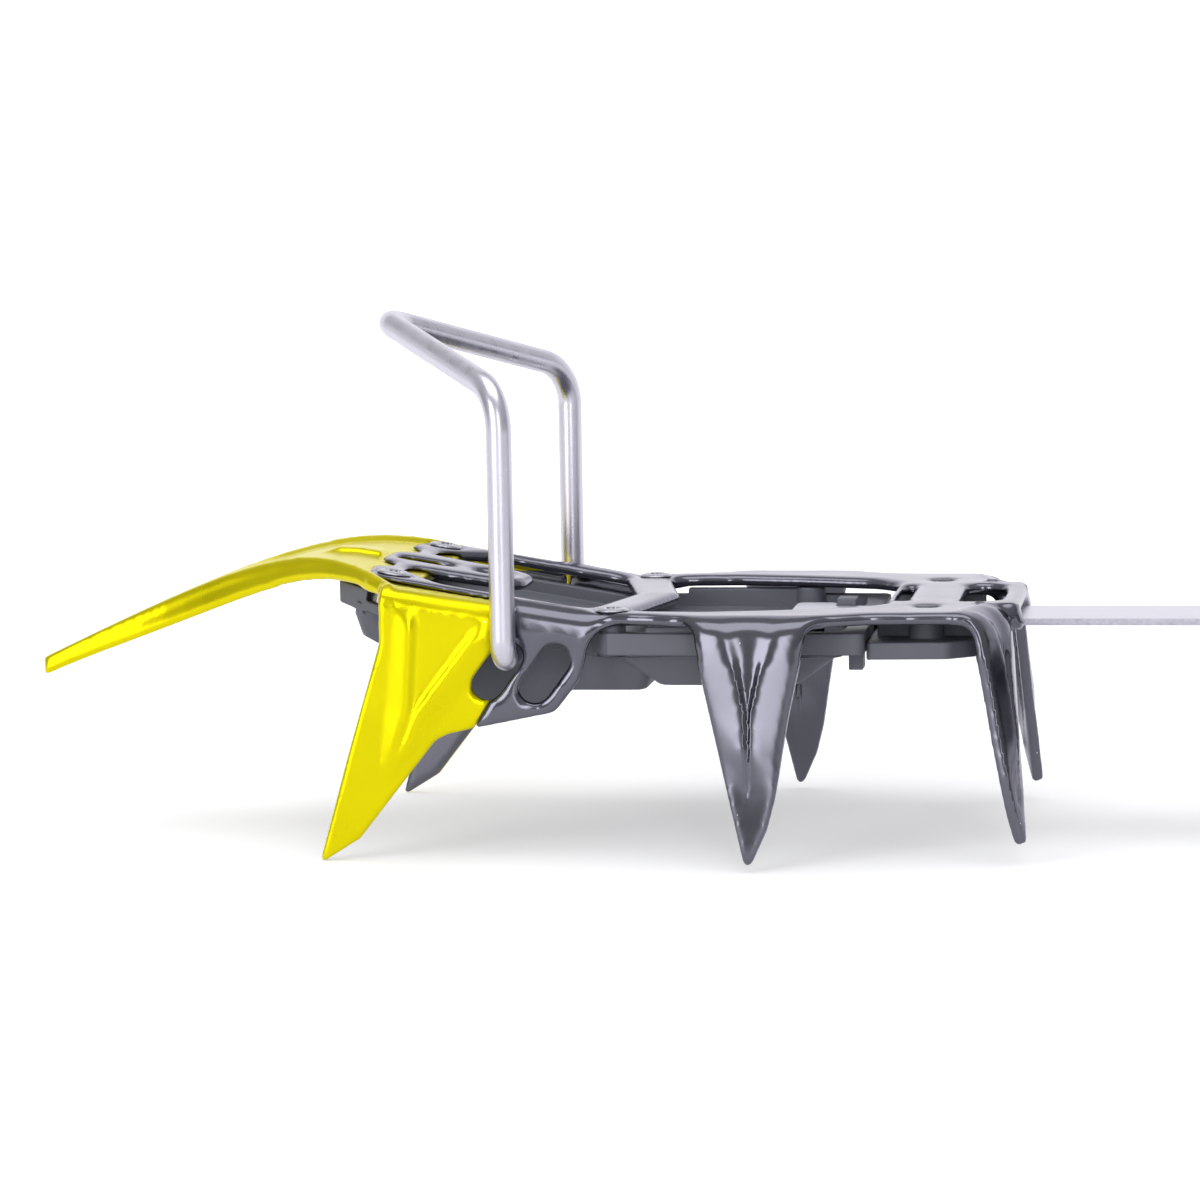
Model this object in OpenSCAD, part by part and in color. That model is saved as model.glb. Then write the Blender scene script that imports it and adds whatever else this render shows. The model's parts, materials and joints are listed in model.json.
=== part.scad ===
// Step-in mountaineering crampon: pressed front half, bolted front claw, linking bar and heel half.
// X runs to the heel, Y across, Z up. The sole rests on the plane Z = 0, the chevron's centre is X = 0.

/* [Sheet steel] */
// Thickness of the pressed sheet of frame, claw and heel piece
sheet = 2.5; // [2.2:0.1:2.8]
// Thickness of the frame where it laps over the front claw
lap = 1.2; // [0.9:0.1:1.5]
// Gap between pieces that butt or nest
seam_gap = 0.1; // [0.05:0.05:0.2]
// Height of the ribs pressed out of the points
press_depth = 1.2; // [0.6:0.1:1.5]

/* [Main frame] */
// From the chevron's centre to the front bar's front edge
front_reach = 55.6; // [54:0.2:57]
// Distance ahead of the chevron's centre where the frame starts to rise
rocker_x = 7; // [5:0.5:9]
// Rise of the front of the frame, in degrees
rocker_angle = 9.7; // [7:0.1:12]
// From the chevron's centre to the tail's fold
tail_x = 76; // [75:0.5:80]
// Half width of the tail
tail_half = 20.5; // [19.5:0.5:21]
// Half width of the frame where the middle points leave it
mid_half = 42; // [41:0.5:44]
// Half width of the frame where the rear points leave it
rear_half = 37.8; // [37:0.2:39]
// Depth of the tail's folded walls
tail_depth = 5.5; // [5:0.5:8]

/* [Slot flanges] */
// Half width over the slot flanges at the toe bail
flange_half = 40.4; // [39.5:0.1:41]
// Turn of the slot flanges towards the waist, in degrees
flange_turn = 7; // [5:0.5:8]
// Outside radius of the bend from rail to flange
bend_r = 5; // [4.5:0.1:5.5]
// Length of a bail slot
slot_l = 13; // [12:0.5:14]
// Width of a bail slot
slot_w = 6.2; // [6:0.1:6.6]
// Lean of the slots' long axis, in degrees
slot_lean = 63; // [55:1:70]
// Distance between the two slots
slot_pitch = 9.4; // [9.2:0.1:10]

/* [Points] */
// Depth of the middle points below the sole
mid_drop = 47.6; // [40:0.2:52]
// Outward splay of the middle points, in degrees
mid_splay = 7.5; // [4:0.5:12]
// Width of a middle point at its shoulder
mid_width = 22; // [18:0.5:23]
// Depth of the rear points below the sole
rear_drop = 45.1; // [40:0.2:50]
// Backward lean of the rear points, in degrees
rear_lean = 11.4; // [9:0.2:13]
// Turn of the rear points' faces to the sides, in degrees
rear_turn = 17; // [14:0.5:18]
// Depth of the secondary points along the flange
second_drop = 58.2; // [54:0.2:62]
// Width of a point's tip
tip_w = 1.4; // [1:0.1:2]

/* [Front claw] */
// Reach of the front point ahead of the chevron's centre
beak_reach = 129.3; // [120:0.5:136]
// Half width of the front point at its tip
beak_tip_half = 2.2; // [1.8:0.1:3]
// Height of the front claw's crest above the frame's front edge
beak_lift = 1.6; // [1.1:0.1:2.1]
// Fall of the front point, as rise over run
beak_slope = 0.5; // [0.42:0.01:0.56]
// Height of the front point's blade at its tip
beak_tip_h = 3.8; // [3:0.1:4.5]

/* [Toe bail] */
// Diameter of the bail's wire
wire_d = 5; // [4.6:0.1:5.4]
// Gap between the bail's legs and the flanges, at the slots
bail_gap = 1.6; // [1.4:0.1:2]
// Height of the bail's shoulders above the sole
bail_top = 44; // [38:0.5:55]
// Height of the bail's peak above the sole
bail_peak = 57; // [50:0.5:70]
// Reach of the bail's peak ahead of its legs
bail_reach = 32; // [24:0.5:40]

/* [Linking bar] */
// Width of the bar
bar_w = 22.8; // [18:0.2:24]
// Thickness of the bar
bar_t = 1.4; // [1.2:0.1:1.6]
// Depth of the bar's top below the sole
bar_drop = 4.1; // [3.8:0.1:4.4]
// Front edge of the bar's T-head
head_x = 28.7; // [26:0.5:30]
// Length of the T-head
head_l = 8.4; // [7:0.2:9]
// Width of the T-head
head_w = 35; // [32:0.5:37]
// Distance between the bar's adjustment holes
hole_pitch = 8; // [7:0.5:10]
// Number of adjustment holes
holes = 8; // [4:1:8]
// Diameter of the adjustment holes
hole_d = 5.4; // [5.2:0.1:6]

/* [Snow plates] */
// Depth of the plates' floor below the sole
plate_drop = 7; // [6.8:0.1:8]
// Thickness of the plates' floor
plate_t = 2.6; // [2:0.1:3]
// Depth of the front plate's rim below the sole
rim_drop = 4.2; // [4.1:0.1:4.6]
// Height of the front plate's rim
rim_h = 4.4; // [4:0.1:5]
// Depth of the plates' domes below the sole
dome_drop = 15.6; // [13:0.2:18]

/* [Heel half] */
// Front edge of the heel frame
heel_x = 134; // [130:0.5:140]
// Length of the heel frame
heel_l = 73; // [71:0.5:80]
// Half width of the heel frame
heel_half = 31; // [29:0.5:34]
// Depth of the heel points below the sole
heel_drop = 46.5; // [40:0.5:50]
// Height of the heel wire's pivot above the sole
ear_h = 8; // [7.5:0.5:10]
// Diameter of the heel wire
heel_wire_d = 4; // [3.6:0.1:4.4]
// Running clearance of pins and wires in their bores
run_gap = 0.08; // [0.05:0.01:0.1]

/* [Heel lever] */
// Height of the lever's pivot above the sole
lever_z = 27; // [24:0.5:32]
// Distance of the lever's pivot behind the ears
lever_back = 47; // [44:0.5:52]
// Width of the lever
lever_w = 32; // [28:1:36]
// Length of the lever above its pivot
lever_l = 58; // [54:1:66]

/* [Hidden] */
$fn = 48;
// Steps of a rounded corner
arc_steps = 5;
// Sides of a swept wire
wire_sides = 12;
// Step that keeps joined sheets from sharing a face
hair = 0.02;
// Overlap of a joined piece inside its neighbour
lead = 1.2;
// Length that passes through any sheet when cutting
through = 40;

// Distance of the bail's slots ahead of the knee, and the front slot's middle in the flange's own frame
flange_ref = 17;
slot_front = [0.8, -14.2];
slot_rear = slot_front + [slot_pitch, 0.8];
slot_run = (slot_l - slot_w) / 2;
pivot_in_flange = slot_front + slot_run * [cos(slot_lean), sin(slot_lean)];
pivot_on_rise = [pivot_in_flange.x * cos(flange_turn) - flange_ref, pivot_in_flange.y];
bail_x = pivot_on_rise.x * cos(rocker_angle) + pivot_on_rise.y * sin(rocker_angle) - rocker_x;
bail_z = -pivot_on_rise.x * sin(rocker_angle) + pivot_on_rise.y * cos(rocker_angle);
bail_half = flange_half + bail_gap + wire_d / 2;
bar_bottom = -bar_drop - bar_t;
plate_top = -plate_drop;
plate_low = -plate_drop - plate_t;
steel = [0.36, 0.36, 0.4];
yellow = [0.93, 0.9, 0.05];
bright = [0.82, 0.81, 0.86];
plastic = [0.3, 0.31, 0.34];

// Outline helpers
function unit(v) = v / norm(v);
function flat(c) = [c.x, c.y];
function corner_arc(a, b, c, r) =
    let (u = unit(a - b), v = unit(c - b))
    let (half = acos(max(-1, min(1, u * v))) / 2)
    let (centre = b + unit(u + v) * r / sin(half))
    let (start = unit(b + u * r / tan(half) - centre))
    let (stop = unit(b + v * r / tan(half) - centre))
    let (side = unit(stop - (stop * start) * start), turn = acos(start * stop))
    [for (i = [0 : arc_steps]) let (t = turn * i / arc_steps) centre + r * (cos(t) * start + sin(t) * side)];
function rounded(corners) = [for (i = [0 : len(corners) - 1])
    let (n = len(corners), b = corners[i])
    let (a = corners[(i + n - 1) % n], c = corners[(i + 1) % n])
    each b[2] > 0 ? corner_arc(flat(a), flat(b), flat(c), b[2]) : [flat(b)]];
function both_sides(half) = concat(half,
    [for (i = [len(half) - 1 : -1 : 0]) if (half[i].y > 0) [half[i].x, -half[i].y, half[i][2]]]);
function blend(a, b, t) = a + (b - a) * t;
function within(v, low, high) = max(low, min(high, v));

module outline(half) {
    polygon(rounded(both_sides(half)));
}

module slab(half, top, thick) {
    translate([0, 0, top - thick]) linear_extrude(thick) outline(half);
}

module mirrored() {
    children();
    mirror([0, 1, 0]) children();
}

// The sole's front zone rises about a line across the frame
module on_rise() {
    translate([-rocker_x, 0, 0]) rotate([0, rocker_angle, 0]) children();
}

module sole_slab(top, thick, front, rear, half) {
    translate([-rocker_x, -half, top - thick]) cube([rear + rocker_x, 2 * half, thick]);
    knee = (thick - top) * tan(rocker_angle) + hair;
    on_rise() translate([-front, -half, top - thick]) cube([front + knee, 2 * half, thick]);
}

// Frame of a side flange: x along its edge, y outward from its outer face, z along its height
module on_flange() {
    on_rise() translate([-flange_ref, flange_half, 0]) rotate([0, 0, -flange_turn]) children();
}

// Section of a sheet whose edge bends down, drop below the sole, outer face at x = 0
function bent_edge(drop, thick, depth) =
    let (outer = bend_r - drop, inner = bend_r - drop - thick)
    concat([[-bend_r - lead, -drop]],
           [for (i = [0 : arc_steps + 1]) let (t = 90 - 90 * i / (arc_steps + 1))
               [outer * (cos(t) - 1), outer * sin(t) - bend_r]],
           [[0, -depth], [-thick, -depth]],
           [for (i = [0 : arc_steps + 1]) let (t = 90 * i / (arc_steps + 1))
               [inner * cos(t) - outer, inner * sin(t) - bend_r]],
           [[-bend_r - lead, -drop - thick]]);

module bent_strip(drop, thick, depth, from, to) {
    translate([from, 0, 0]) rotate([90, 0, 90]) linear_extrude(to - from)
        polygon(bent_edge(drop, thick, depth));
}

module side_outline(corners, out = 5, deep = 20) {
    translate([0, out, 0]) rotate([90, 0, 0]) linear_extrude(out + deep) polygon(rounded(corners));
}

module bail_slots() {
    for (middle = [slot_front, slot_rear])
        translate([middle.x, through / 2, middle.y]) rotate([90, -slot_lean, 0]) {
            for (end = [-slot_run, slot_run])
                translate([end, 0, 0]) cylinder(d = slot_w, h = through);
            translate([-slot_run, -slot_w / 2, 0]) cube([2 * slot_run, slot_w, through]);
        }
}

// Seam between front claw and frame flange, in the flange's own frame
seam = [[1.3, 2], [1.3, -12], [0.5, -19.9], [-2.1, -26.4]];

// A pressed point: a strip of sheet leaves an edge at y = 0, bends down and runs to a tip at tip_x.
// Two ribs rise from its edges to a panel between them, run together below it and fade out above the tip.
bend_shares = [0, 0.2, 0.4, 0.6, 0.8, 1];
panel_end = 0.32;
rib_full = 0.5;
rib_end = 0.7;
blade_shares = [0.14, panel_end, rib_full, 0.6, rib_end, 0.84, 1];
// Flat band outside a rib, slope width of its inner wall, and easing of the edges
rib_band = 1.5;
rib_wall = 0.7;
edge_ease = 0.35;
point_columns = 8;
// Bulge of a point's trailing edge, near its tip
edge_bulge = 1.6;

function point_row(mid, face, left, right, panel_l, panel_r, press) =
    let (strip_l = min(rib_band, (panel_l - left) * 0.4), strip_r = min(rib_band, (right - panel_r) * 0.4))
    let (wall = min(rib_wall, (panel_r - panel_l) * 0.3))
    let (across = [left, left + strip_l, panel_l, panel_l + wall, panel_r - wall, panel_r, right - strip_r,
                   right])
    let (raised = [-edge_ease, 0, press_depth, -hair, -hair, press_depth, 0, -edge_ease])
    [for (i = [0 : point_columns - 1]) [across[i], mid.x, mid.y] + raised[i] * press * [0, face.x, face.y]];

function point_rows(left, right, flare_l, flare_r, panel, tip_x, drop, splay, radius) =
    let (turn = 90 - splay, bend_drop = radius * (1 - cos(turn)) + sheet / 2)
    let (length = (drop - bend_drop) / cos(splay))
    let (middle = (left + right) / 2)
    concat([[[-lead, -sheet / 2], [0, 1], left - flare_l, right + flare_r, middle - panel, middle + panel,
             0]],
        [for (t = bend_shares) let (a = turn * t, spread = pow(1 - t, 2))
            [[radius * sin(a), -radius * (1 - cos(a)) - sheet / 2], [sin(a), cos(a)],
             left - flare_l * spread, right + flare_r * spread,
             middle - blend(panel, panel * 0.55, t), middle + blend(panel, panel * 0.55, t), t]],
        [for (t = blade_shares)
            let (centre = blend(middle, tip_x, t), open = max(0.45, panel * 0.55 * (1 - t / panel_end)))
            let (end = radius * [sin(turn), cos(turn) - 1] + t * length * [sin(splay), -cos(splay)])
            [end - [0, sheet / 2], [sin(turn), cos(turn)],
             blend(left, tip_x - tip_w / 2, t),
             blend(right, tip_x + tip_w / 2, t) + edge_bulge * sin(180 * pow(t, 2.5)),
             centre - min(open, (1 - t) * 3 + tip_w * 0.2), centre + min(open, (1 - t) * 3 + tip_w * 0.2),
             within((rib_end - t) / (rib_end - rib_full), 0, 1)]]);

function grid_faces(rows, cols) =
    let (n = rows * cols)
    concat([for (r = [0 : rows - 2], c = [0 : cols - 2]) let (k = r * cols + c)
               each [[k, k + cols + 1, k + 1], [k, k + cols, k + cols + 1],
                     [n + k, n + k + 1, n + k + cols + 1], [n + k, n + k + cols + 1, n + k + cols]]],
           [for (r = [0 : rows - 2]) let (k = r * cols, m = r * cols + cols - 1)
               each [[k, n + k, n + k + cols], [k, n + k + cols, k + cols],
                     [m, n + m + cols, n + m], [m, m + cols, n + m + cols]]],
           [for (c = [0 : cols - 2]) let (k = c, m = (rows - 1) * cols + c)
               each [[k, n + k + 1, n + k], [k, k + 1, n + k + 1],
                     [m, n + m, n + m + 1], [m, n + m + 1, m + 1]]]);

module pressed_point(left, right, flare_l, flare_r, panel, tip_x, drop, splay, radius) {
    rows = point_rows(left, right, flare_l, flare_r, panel, tip_x, drop, splay, radius);
    half = sheet / 2 - hair;
    faces_out = [for (r = rows) each point_row(r[0] + half * r[1], r[1], r[2], r[3], r[4], r[5], r[6])];
    faces_in = [for (r = rows) each point_row(r[0] - half * r[1], r[1], r[2], r[3], r[4], r[5], r[6])];
    polyhedron(concat(faces_out, faces_in), grid_faces(len(rows), point_columns), 4);
}

// A round wire swept along points, each inner point rounded by its radius
function wire_path(stops) = [for (i = [0 : len(stops) - 1])
    each i == 0 || i == len(stops) - 1 ? [stops[i][0]]
        : corner_arc(stops[i - 1][0], stops[i][0], stops[i + 1][0], stops[i][1])];
function headings(path) = [for (i = [0 : len(path) - 1])
    unit(path[min(i + 1, len(path) - 1)] - path[max(i - 1, 0)])];
function carried(heads, side, i = 0) = i == len(heads) ? []
    : let (next = unit(side - (side * heads[i]) * heads[i])) concat([next], carried(heads, next, i + 1));
function wire_faces(rings) = concat(
    [for (r = [0 : rings - 2], s = [0 : wire_sides - 1])
        let (a = r * wire_sides + s, b = r * wire_sides + (s + 1) % wire_sides)
        each [[a, b, b + wire_sides], [a, b + wire_sides, a + wire_sides]]],
    [for (s = [1 : wire_sides - 2]) let (end = (rings - 1) * wire_sides)
        each [[0, s + 1, s], [end, end + s, end + s + 1]]]);

module swept_wire(path, d, side) {
    heads = headings(path);
    sides = carried(heads, side);
    rings = [for (i = [0 : len(path) - 1], s = [0 : wire_sides - 1]) let (t = 360 * s / wire_sides)
        path[i] + d / 2 * (cos(t) * sides[i] - sin(t) * cross(heads[i], sides[i]))];
    polyhedron(rings, wire_faces(len(path)), 4);
}

module across(x, z, d, from, to) {
    translate([x, from, z]) rotate([-90, 0, 0]) cylinder(d = d, h = to - from);
}

// Fasteners: lobed-socket bolts with sunk heads
bolt_d = 4;
bolt_head_d = 7;
sink = (bolt_head_d - bolt_d) / 2;
crown = 0.5;
socket_d = 3.6;
socket_w = 1.2;
nut_w = 7;
nut_h = 2.4;

module sunk_bolt(shank) {
    difference() {
        rotate_extrude() polygon([[0, -shank], [bolt_d / 2, -shank], [bolt_d / 2, -sink],
                                  [bolt_head_d / 2, 0], [bolt_head_d / 2 - 0.3, crown * 0.6],
                                  [bolt_head_d / 2 - 1.2, crown], [0, crown]]);
        translate([0, 0, crown - 1]) for (turn = [0, 60, 120])
            rotate([0, 0, turn]) translate([-socket_d / 2, -socket_w / 2, 0]) cube([socket_d, socket_w, 2]);
    }
}

module bolt_bore() {
    translate([0, 0, -through / 2]) cylinder(d = bolt_d + 2 * seam_gap, h = through);
    rotate_extrude() polygon([[0, -sink], [bolt_d / 2, -sink], [bolt_head_d / 2, 0], [bolt_head_d / 2, 2],
                              [0, 2]]);
}

// Main frame
bolt_front = [13.8 - front_reach, 27.8];
bridge_bolt = [-3.4, 32.2];
stud_rear = [58.5, 24];
post_r = 2.75;
claw_root = [67.3, 29];
mid_left = 14.4;
mid_tip_x = 25.3;
rear_tip_y = 36.2;
// Rear edge of a slot flange, and the fillet and length by which it runs into the rail
flange_rear = 18.6;
waist_r = 6;
waist_l = 8.4;

function claw_line(y) = claw_root.x - (y - claw_root.y) * tan(rear_turn);
function frame_outline() = [[-front_reach, 0, 0], [-front_reach, 7, 4], [-front_reach + 3.8, 10.5, 2.5],
    [-front_reach + 3.8, 16, 2.5], [-front_reach + 1, 20, 3], [-front_reach + 2.4, 31.5, 4],
    [-front_reach + 9.1, 35.2, 6],
    [-24, flange_half - bend_r, 0], [-10, flange_half - bend_r - 1.7, 3],
    [1, flange_half - 1.4, 6], [5, flange_half - 0.7, 3], [10, mid_half, 4], [42, mid_half, 3],
    [48, rear_half + 0.8, 5], [claw_line(rear_half), rear_half, 0], [claw_line(tail_half), tail_half, 0],
    [tail_x, tail_half, 0], [tail_x, 0, 0]];
bar_rear = 8.1 - front_reach;
front_window = [[bar_rear, 0, 0], [bar_rear, 19, 3], [bar_rear + 10, 30.6, 5], [-12, 29.6, 3],
                [-9.3, 28.5, 1.5], [-3.2, 0, 0]];
tongue = [[bar_rear - 2.5, 0, 0], [bar_rear - 2.5, 13, 0], [bar_rear + 2.5, 11.5, 4],
          [bar_rear + 16.5, 9.5, 8], [bar_rear + 22.5, 7, 5], [bar_rear + 22.5, 0, 0]];
tongue_slot = [[bar_rear - 5, 0, 0], [bar_rear - 5, 2.6, 2], [bar_rear + 6, 2.6, 2], [bar_rear + 6, 0, 0]];
tongue_hole = [[bar_rear + 10.5, 0, 0], [bar_rear + 10.5, 3.2, 2.8], [bar_rear + 18, 3.2, 2.8],
               [bar_rear + 18, 0, 0]];
mid_window = [[6.2, 0, 0], [0.6, 29.6, 2], [3, 32.2, 2], [15, 33, 8], [28, 30.4, 10], [44, 25.5, 6],
              [49.6, 19, 5], [49.6, 0, 0]];
lens_window = [[51, 0, 0], [51.4, 12, 6], [53.4, 16.5, 0.6], [53.6, 0, 0]];
rear_window = [[64.5, 0, 0], [64.5, 14, 2], [67.5, 16.6, 2.5], [72.3, 13.5, 4], [73, 0, 0]];

module through_sole(half) {
    translate([0, 0, -through / 2]) linear_extrude(through) outline(half);
}

module claw_web(gap, front) {
    rear = bar_rear + 10 + gap;
    inner = flange_half - 7.4 - gap;
    web = [[front, 0, 0], [front, flange_half - 4.9 + gap, 4], [rear - 4 - gap, flange_half - 2 + gap, 1.5],
           [-15.8 + gap, flange_half - bend_r + gap, 0], [-15.8 + gap, inner, 0], [rear + 2, inner, 2.5],
           [rear, 29, 2], [rear, 0, 0]];
    outline(web);
}

module slot_flange() {
    intersection() {
        bent_strip(hair, sheet - 2 * hair, through, -5, flange_rear + waist_l);
        side_outline(concat([for (p = seam) [p.x, p.y, 0]],
            [[13.4, -20.7, 3], [17.2, -13.6, 3], [flange_rear, -2.7, waist_r],
             [flange_rear + waist_l, -1.2, 0], [flange_rear + waist_l, 2, 0]]));
    }
}

module tail_fold() {
    fold = tail_half - sheet;
    difference() {
        union() {
            translate([0, fold, 0]) rotate([90, 0, 0]) linear_extrude(2 * fold)
                polygon([[tail_x - sheet, -hair], [tail_x, -hair], [tail_x + 1.7, -tail_depth],
                         [tail_x - 0.8, -tail_depth], [tail_x - sheet, -sheet]]);
            mirrored() translate([0, tail_half - hair, 0]) rotate([90, 0, 0]) linear_extrude(sheet + lead)
                polygon([[claw_root.x + 1, -hair], [tail_x - hair, -hair],
                         [tail_x + 1.4, -tail_depth + hair], [claw_root.x + 3, -tail_depth + hair]]);
        }
        translate([tail_x - 5, -bar_w / 2 - 0.6, bar_bottom - 5]) cube([10, bar_w + 1.2, 5 + bar_t + 0.7]);
    }
}

module main_frame() {
    color(steel) difference() {
        union() {
            intersection() {
                sole_slab(0, sheet, front_reach + 5, tail_x, mid_half + 5);
                through_sole(frame_outline());
            }
            mirrored() {
                on_flange() slot_flange();
                translate([0, mid_half, 0])
                    pressed_point(mid_left, mid_left + mid_width, 3, 4.4, 7, mid_tip_x, mid_drop,
                                  mid_splay, 4.2);
                translate([claw_root.x, claw_root.y, 0]) rotate([0, 0, rear_turn])
                    translate([0, -claw_root.y, 0])
                    mirror([1, -1, 0])
                    pressed_point(tail_half - 1, rear_half - 0.2, 0, 0, 4.5, rear_tip_y, rear_drop,
                                  rear_lean, 5);
            }
            tail_fold();
        }
        difference() {
            through_sole(front_window);
            through_sole(tongue);
        }
        for (window = [tongue_slot, tongue_hole, mid_window, lens_window, rear_window])
            through_sole(window);
        on_rise() translate([0, 0, -lap - 10]) linear_extrude(10) claw_web(seam_gap, -front_reach);
        mirrored() {
            on_flange() bail_slots();
            on_rise() translate([bolt_front.x, bolt_front.y, 0]) bolt_bore();
            translate([bridge_bolt.x, bridge_bolt.y, 0]) bolt_bore();
            translate([bridge_bolt.x, bridge_bolt.y, -sheet - 2]) cylinder(r = post_r + 0.3, h = 2);
            translate([stud_rear.x, stud_rear.y, -through / 2])
                cylinder(d = stud_d + 2 * seam_gap, h = through);
        }
    }
}

// Front claw
beak_root = front_reach - 9.1;
beak_root_half = 41.2;
beak_crest_x = front_reach + 8.4;
beak_crest = (front_reach - rocker_x) * tan(rocker_angle) + beak_lift;
beak_curve = 22;
beak_panel_end = 0.52;
beak_rib_end = 0.26;
beak_stations = 18;
beak_wall = 2.4;
root_sink = 0.9;

function beak_half(f) = blend(beak_tip_half, beak_root_half, pow(1 - f, 2.2));
function beak_top(x) = beak_crest - beak_slope * (norm([x - beak_crest_x, beak_curve]) - beak_curve);
function beak_height(f) = blend(3, beak_tip_h, f) + 2.8 * pow(sin(180 * within(f, 0, 1)), 1.3);

function beak_ring(f) =
    let (x = blend(beak_root, beak_reach, f), w = beak_half(f), h = beak_height(f))
    let (top = beak_top(x) - root_sink * pow(1 - f, 12), low = top - h)
    let (press = press_depth * within((beak_panel_end - f) / 0.12, 0, 1))
    let (rib = 5 * within((beak_rib_end - f) / beak_rib_end, 0, 1), rib_h = rib > 0.4 ? press : 0)
    let (y_rib = max(rib, w * 0.1), y_foot = y_rib + min(1, w * 0.15), y_panel = max(w - 5, w * 0.45))
    let (y_lip = max(w - 3, w * 0.6), y_step = max(w - 0.6, w * 0.9), inner = max(w - beak_wall, w * 0.3))
    let (web = max(low + 0.3, top - press - sheet))
    let (half = [[y_rib, top - press + rib_h], [y_foot, top - press - hair],
                 [y_panel, top - press - 2 * hair], [y_lip, top],
                 [y_step - 0.4, top - 0.1], [y_step, top - 0.7], [y_step, top - h * 0.55],
                 [w, top - h * 0.62], [w, low], [inner, low], [inner * 0.98, web - hair],
                 [y_rib * 0.5, web]])
    concat([for (p = half) [-x, p.x, p.y]],
           [for (i = [len(half) - 1 : -1 : 0]) [-x, -half[i].x, half[i].y]]);

// Triangles over one half of a beak ring, and over its middle
half_cap = [[0, 1, 11], [1, 2, 11], [2, 10, 11], [2, 3, 10], [3, 4, 10], [4, 5, 10], [5, 6, 10],
            [6, 7, 10], [7, 9, 10], [7, 8, 9]];
beak_sides = 24;
beak_cap = concat(half_cap, [for (t = half_cap) [for (i = [2, 1, 0]) beak_sides - 1 - t[i]]],
                  [[0, 11, 12], [0, 12, 23]]);

function beak_faces(rings) = concat(
    [for (r = [0 : rings - 2], s = [0 : beak_sides - 1])
        let (a = r * beak_sides + s, b = r * beak_sides + (s + 1) % beak_sides)
        each [[a, b + beak_sides, b], [a, a + beak_sides, b + beak_sides]]],
    beak_cap,
    [for (t = beak_cap) [for (i = [2, 1, 0]) (rings - 1) * beak_sides + t[i]]]);

module beak() {
    rings = [for (i = [0 : beak_stations]) beak_ring(i / beak_stations)];
    polyhedron([for (r = rings) each r], beak_faces(len(rings)), 4);
}

// Ribs of a secondary point, by depth: foot, ridge and inner edge of the front rib, the same of the rear rib
second_ribs = [[-4.4, -21.5, -17.6, -16.9, -3.6, -2.9, 2.6, 0],
               [-8, -21.5, -17.2, -16.5, -5.6, -4.9, 1.2, 1],
               [-25, -20.4, -15.4, -14.9, -14.5, -14, -8, 1],
               [-31, -20, -16.4, -16, -15.6, -15.2, -11.2, 1],
               [-36.4, -19.6, -17.9, -17.7, -17.4, -17.2, -14.6, 0.45],
               [-39, -19.4, -18.4, -18.2, -18, -17.8, -16, 0]];
rib_sink = 0.6;

function rib_row(row) =
    [for (i = [1 : 6]) [row[i], i == 2 || i == 5 ? press_depth * row[7] - hair : -2 * hair, row[0]]];

module ribs() {
    face = [for (row = second_ribs) each rib_row(row)];
    back = [for (p = face) [p.x, -rib_sink, p.z]];
    polyhedron(concat(face, back), grid_faces(len(second_ribs), 6), 4);
}

module second_point() {
    intersection() {
        union() {
            bent_strip(lap + 2 * hair, sheet - 4 * hair, through * 2, -32, 4);
            ribs();
        }
        side_outline(concat([for (i = [len(seam) - 1 : -1 : 0]) [seam[i].x - seam_gap, seam[i].y, 0]],
            [[-24.8, 2, 0], [-24.8, -3.4, 2], [-23.1, -12.1, 8], [-26, -35.3, 12],
             [-28.5, -second_drop, 0.6], [-21.2, -second_drop + 6.4, 2], [-9.1, -29.7, 4],
             [-6.8, -28.2, 2]]));
    }
}

module front_claw() {
    color(yellow) difference() {
        union() {
            on_rise() translate([0, 0, -lap - sheet + hair]) linear_extrude(sheet - 2 * hair)
                claw_web(0, -beak_root);
            mirrored() on_flange() second_point();
            beak();
        }
        intersection() {
            on_rise() translate([-front_reach, -mid_half, -lap]) cube([front_reach - 12, 2 * mid_half, 30]);
            translate([-seam_gap, 0, 0]) through_sole(frame_outline());
        }
        mirrored() {
            on_flange() bail_slots();
            on_rise() translate([bolt_front.x, bolt_front.y, 0]) bolt_bore();
        }
    }
}

module claw_bolts() {
    color(bright) mirrored() on_rise() translate([bolt_front.x, bolt_front.y, 0])
        sunk_bolt(lap + sheet + nut_h);
}

module claw_nuts() {
    color(bright) mirrored() on_rise() translate([bolt_front.x, bolt_front.y, -lap - sheet - nut_h])
        difference() {
            cylinder(d = nut_w / cos(30), h = nut_h, $fn = 6);
            translate([0, 0, -1]) cylinder(d = bolt_d + 2 * seam_gap, h = nut_h + 2);
        }
}

module bridge_bolts() {
    color(bright) mirrored() translate([bridge_bolt.x, bridge_bolt.y, 0]) sunk_bolt(-insert_end);
}

insert_d = bolt_d + 1.2;
insert_end = -rim_drop - rim_h + 0.3;

module plate_inserts() {
    color([0.75, 0.6, 0.3]) mirrored() translate([bridge_bolt.x, bridge_bolt.y, insert_end])
        difference() {
            cylinder(d = insert_d, h = -sheet - insert_end);
            translate([0, 0, -1]) cylinder(d = bolt_d + 2 * seam_gap, h = through);
        }
}

// Toe bail
module toe_bail() {
    pin_end = bail_half - wire_d / 2 - bail_gap - sheet - 3;
    shoulder = [bail_x, bail_half, bail_top];
    peak = [bail_x - bail_reach, 0, bail_peak];
    half = [[[bail_x, bail_half - 5.2, bail_z], 0], [[bail_x, bail_half, bail_z], 4], [shoulder, 10]];
    far = [for (i = [len(half) - 1 : -1 : 0]) [[half[i][0].x, -half[i][0].y, half[i][0].z], half[i][1]]];
    color(bright) {
        swept_wire(wire_path(concat(half, [[peak, 9]], far)), wire_d - 2 * hair, [1, 0, 0]);
        mirrored() across(bail_x, bail_z, wire_d, pin_end, bail_half - 4.4);
    }
}

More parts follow.
